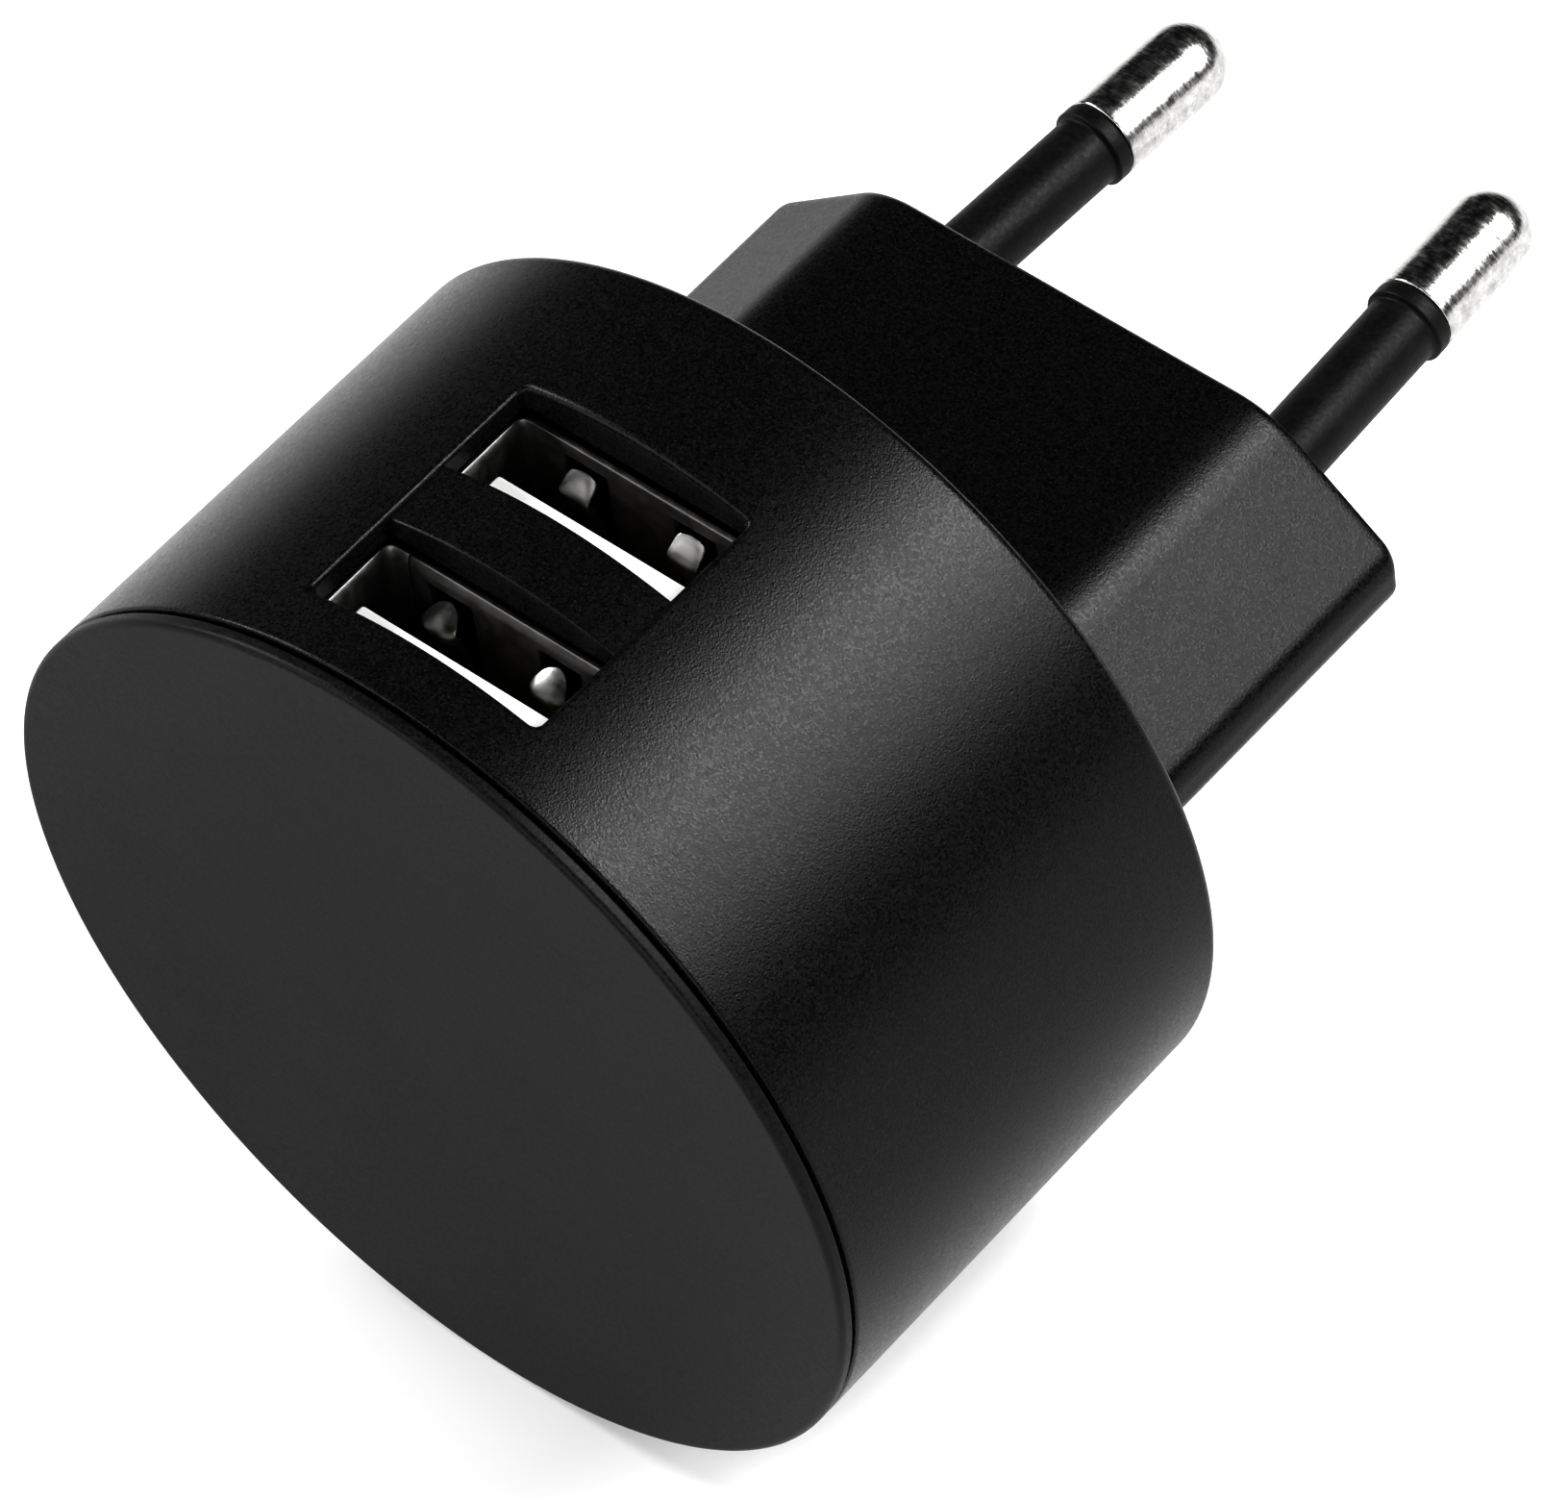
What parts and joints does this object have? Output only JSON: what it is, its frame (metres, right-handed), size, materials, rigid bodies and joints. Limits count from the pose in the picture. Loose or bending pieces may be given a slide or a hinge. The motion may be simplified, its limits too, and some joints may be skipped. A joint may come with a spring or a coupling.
{
  "type": "usb wall charger",
  "caption": "Plug-in mains charger: round barrel with a flat front cover, a plug block with sleeved round pins, and charging sockets in its side.",
  "frame": {"origin": "centre of the plug block's flat end face, between the two pins", "axes": "+Y out along the pins into the outlet, +Z out of the two charging sockets, +X to the right seen from the sockets with the pins pointing up; -Y faces the user"},
  "size_m": [0.046, 0.0637, 0.046],
  "materials": {
    "housing_plastic": "fine spark-eroded texture",
    "cover_plastic": "very fine matte texture",
    "pin_plating": "nickel plated",
    "sleeve_plastic": "satin",
    "spring_brass": "rolled",
    "board_laminate": "solder resist",
    "socket_steel": "nickel plated sheet",
    "white_insulator": "moulded",
    "contact_gold": "gold flashed",
    "ferrite": "sintered",
    "bobbin_plastic": "moulded",
    "winding_tape": "polyester tape over copper wire",
    "tinned_wire": "tinned",
    "capacitor_sleeve": "shrink sleeve",
    "resistor_coat": "lacquered",
    "chip_plastic": "moulded epoxy",
    "safety_coat": "lacquered",
    "copper_wire": "enamelled"
  },
  "bodies": {
    "charger": {"housing_shell": "housing_plastic", "front_cover": "cover_plastic", "pin_left": "pin_plating", "pin_right": "pin_plating", "sleeve_left": "sleeve_plastic", "sleeve_right": "sleeve_plastic", "pin_leaf_left": "spring_brass", "pin_leaf_right": "spring_brass", "main_board": "board_laminate", "socket_shell_rear": "socket_steel", "socket_shell_front": "socket_steel", "socket_tongue_rear": "white_insulator", "socket_tongue_front": "white_insulator", "contact_tails_rear": "contact_gold", "contact_tails_front": "contact_gold", "transformer_core": "ferrite", "transformer_bobbin": "bobbin_plastic", "transformer_winding": "winding_tape", "transformer_pins": "tinned_wire", "mains_capacitor_rear": "capacitor_sleeve", "mains_capacitor_front": "capacitor_sleeve", "output_capacitor": "capacitor_sleeve", "fuse_resistor": "resistor_coat", "bridge_rectifier": "chip_plastic", "power_controller": "chip_plastic", "output_diode": "chip_plastic", "safety_capacitor": "safety_coat", "filter_choke_core": "ferrite", "filter_choke_winding": "copper_wire"},
    "grip_rear_plug_side": {"grip_rear_plug_side": "socket_steel"},
    "grip_rear_cover_side": {"grip_rear_cover_side": "socket_steel"},
    "grip_front_plug_side": {"grip_front_plug_side": "socket_steel"},
    "grip_front_cover_side": {"grip_front_cover_side": "socket_steel"},
    "contacts_rear": {"contacts_rear": "contact_gold"},
    "contacts_front": {"contacts_front": "contact_gold"}
  },
  "joints": [
    {"name": "grip_rear_plug_side_flex", "type": "hinge", "parent": "charger", "child": "grip_rear_plug_side", "pos_m": [0, -0.02686, 0.01235], "axis": [-1, 0, 0], "range_deg": [0, 4], "stiffness_Nm_per_rad": 0.036},
    {"name": "grip_rear_cover_side_flex", "type": "hinge", "parent": "charger", "child": "grip_rear_cover_side", "pos_m": [0, -0.03227, 0.01235], "axis": [1, 0, 0], "range_deg": [0, 4], "stiffness_Nm_per_rad": 0.036},
    {"name": "contacts_rear_flex", "type": "hinge", "parent": "charger", "child": "contacts_rear", "pos_m": [0, -0.02988, 0.0099], "axis": [1, 0, 0], "range_deg": [0, 3.5], "stiffness_Nm_per_rad": 0.03},
    {"name": "grip_front_plug_side_flex", "type": "hinge", "parent": "charger", "child": "grip_front_plug_side", "pos_m": [0, -0.03544, 0.01235], "axis": [-1, 0, 0], "range_deg": [0, 4], "stiffness_Nm_per_rad": 0.036},
    {"name": "grip_front_cover_side_flex", "type": "hinge", "parent": "charger", "child": "grip_front_cover_side", "pos_m": [0, -0.04086, 0.01235], "axis": [1, 0, 0], "range_deg": [0, 4], "stiffness_Nm_per_rad": 0.036},
    {"name": "contacts_front_flex", "type": "hinge", "parent": "charger", "child": "contacts_front", "pos_m": [0, -0.03847, 0.0099], "axis": [1, 0, 0], "range_deg": [0, 3.5], "stiffness_Nm_per_rad": 0.03}
  ]
}
